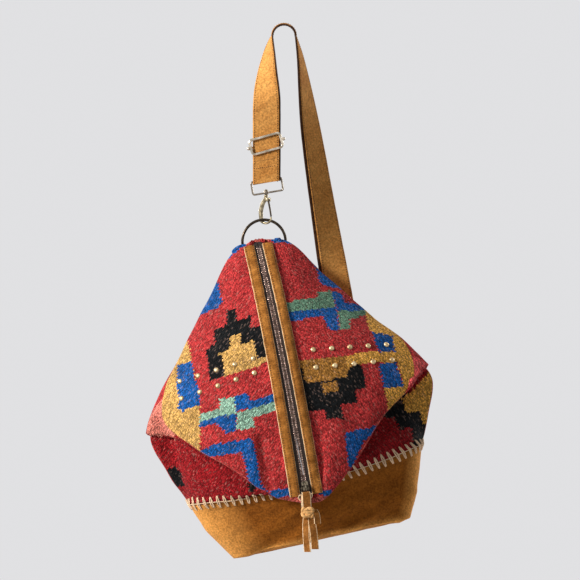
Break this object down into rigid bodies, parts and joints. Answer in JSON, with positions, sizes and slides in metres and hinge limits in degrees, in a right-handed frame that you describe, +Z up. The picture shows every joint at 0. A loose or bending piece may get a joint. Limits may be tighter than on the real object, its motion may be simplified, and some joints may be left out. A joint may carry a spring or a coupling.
{
  "type": "shoulder bag",
  "caption": "Shoulder bag of patterned woven wool with a slanting front zip, a suede base, and a suede strap with a slide buckle and a swivel snap hook.",
  "frame": {"origin": "middle of the inner face of the strap's bend, where it rests on what it hangs on", "axes": "+Z up, +X to the right seen from the zip's side, +Y away from the zip towards the wall behind"},
  "size_m": [0.3558, 0.1595, 0.6715],
  "materials": {
    "wool": "matt woven wool",
    "suede": "napped suede",
    "lining": "matt",
    "zip_tape": "matt woven tape",
    "zip_metal": "dull antique",
    "bronze": "dark antique",
    "stud_brass": "antique"
  },
  "bodies": {
    "bag": {"wool_left": "wool", "wool_right": "wool", "suede_base": "suede", "zip_strip_left": "suede", "zip_strip_right": "suede", "zip_tape_left": "zip_tape", "zip_tape_right": "zip_tape", "zip_teeth_left": "zip_metal", "zip_teeth_right": "zip_metal", "zip_stop": "zip_metal", "ring_tab": "suede", "strap_suede": "suede", "strap_lining": "lining", "strap_end": "suede", "strap_patch": "suede", "stud_left_upper_1": "stud_brass", "stud_left_upper_2": "stud_brass", "stud_left_upper_3": "stud_brass", "stud_left_upper_4": "stud_brass", "stud_left_upper_5": "stud_brass", "stud_left_lower_1": "stud_brass", "stud_left_lower_2": "stud_brass", "stud_left_lower_3": "stud_brass", "stud_left_lower_4": "stud_brass", "stud_left_lower_5": "stud_brass", "stud_right_upper_1": "stud_brass", "stud_right_upper_2": "stud_brass", "stud_right_upper_3": "stud_brass", "stud_right_upper_4": "stud_brass", "stud_right_upper_5": "stud_brass", "stud_right_lower_1": "stud_brass", "stud_right_lower_2": "stud_brass", "stud_right_lower_3": "stud_brass", "stud_right_lower_4": "stud_brass", "stud_right_lower_5": "stud_brass"},
    "slider": {"zip_slider": "bronze"},
    "pull": {"pull_thong": "suede"},
    "ring": {"ring": "bronze"},
    "clasp": {"clasp_loop": "bronze"},
    "hook": {"hook_body": "bronze", "gate_pin": "bronze"},
    "gate": {"hook_gate": "bronze"},
    "slide": {"slide_frame": "bronze", "slide_bar": "bronze"}
  },
  "joints": [
    {"name": "zip_run", "type": "hinge", "parent": "bag", "child": "slider", "pos_m": [-0.02984, 0.4056, -0.5721], "axis": [-0.9815, -0.108, -0.158], "range_deg": [0, 34], "deforming": ["zip_teeth_left", "zip_teeth_right"]},
    {"name": "zip_pull_swing", "type": "hinge", "parent": "slider", "child": "pull", "pos_m": [0.02629, -0.10233, -0.57369], "axis": [-0.9815, -0.108, -0.158], "range_deg": [0, 110]},
    {"name": "ring_spin", "type": "hinge", "parent": "bag", "child": "ring", "pos_m": [-0.025, 0.0127, -0.27008], "axis": [0, 1, 0], "continuous": true},
    {"name": "clasp_swing", "type": "hinge", "parent": "bag", "child": "clasp", "pos_m": [-0.0225, 0.0127, -0.1931], "axis": [0.9863, 0, 0.165], "range_deg": [-0.6, 0.1]},
    {"name": "hook_swivel", "type": "hinge", "parent": "clasp", "child": "hook", "pos_m": [-0.0225, 0.0127, -0.2093], "axis": [0, 0, 1], "range_deg": [-95, 0]},
    {"name": "gate_open", "type": "hinge", "parent": "hook", "child": "gate", "pos_m": [-0.01982, 0.01068, -0.21792], "axis": [0.6018, 0.7986, 0], "range_deg": [0, 30], "stiffness_Nm_per_rad": 0.02, "springref_deg": -11.46},
    {"name": "slide_adjust", "type": "slide", "parent": "bag", "child": "slide", "axis": [0, 0, 1], "range_m": [-0.01, 0.02], "deforming": ["strap_end"]}
  ]
}
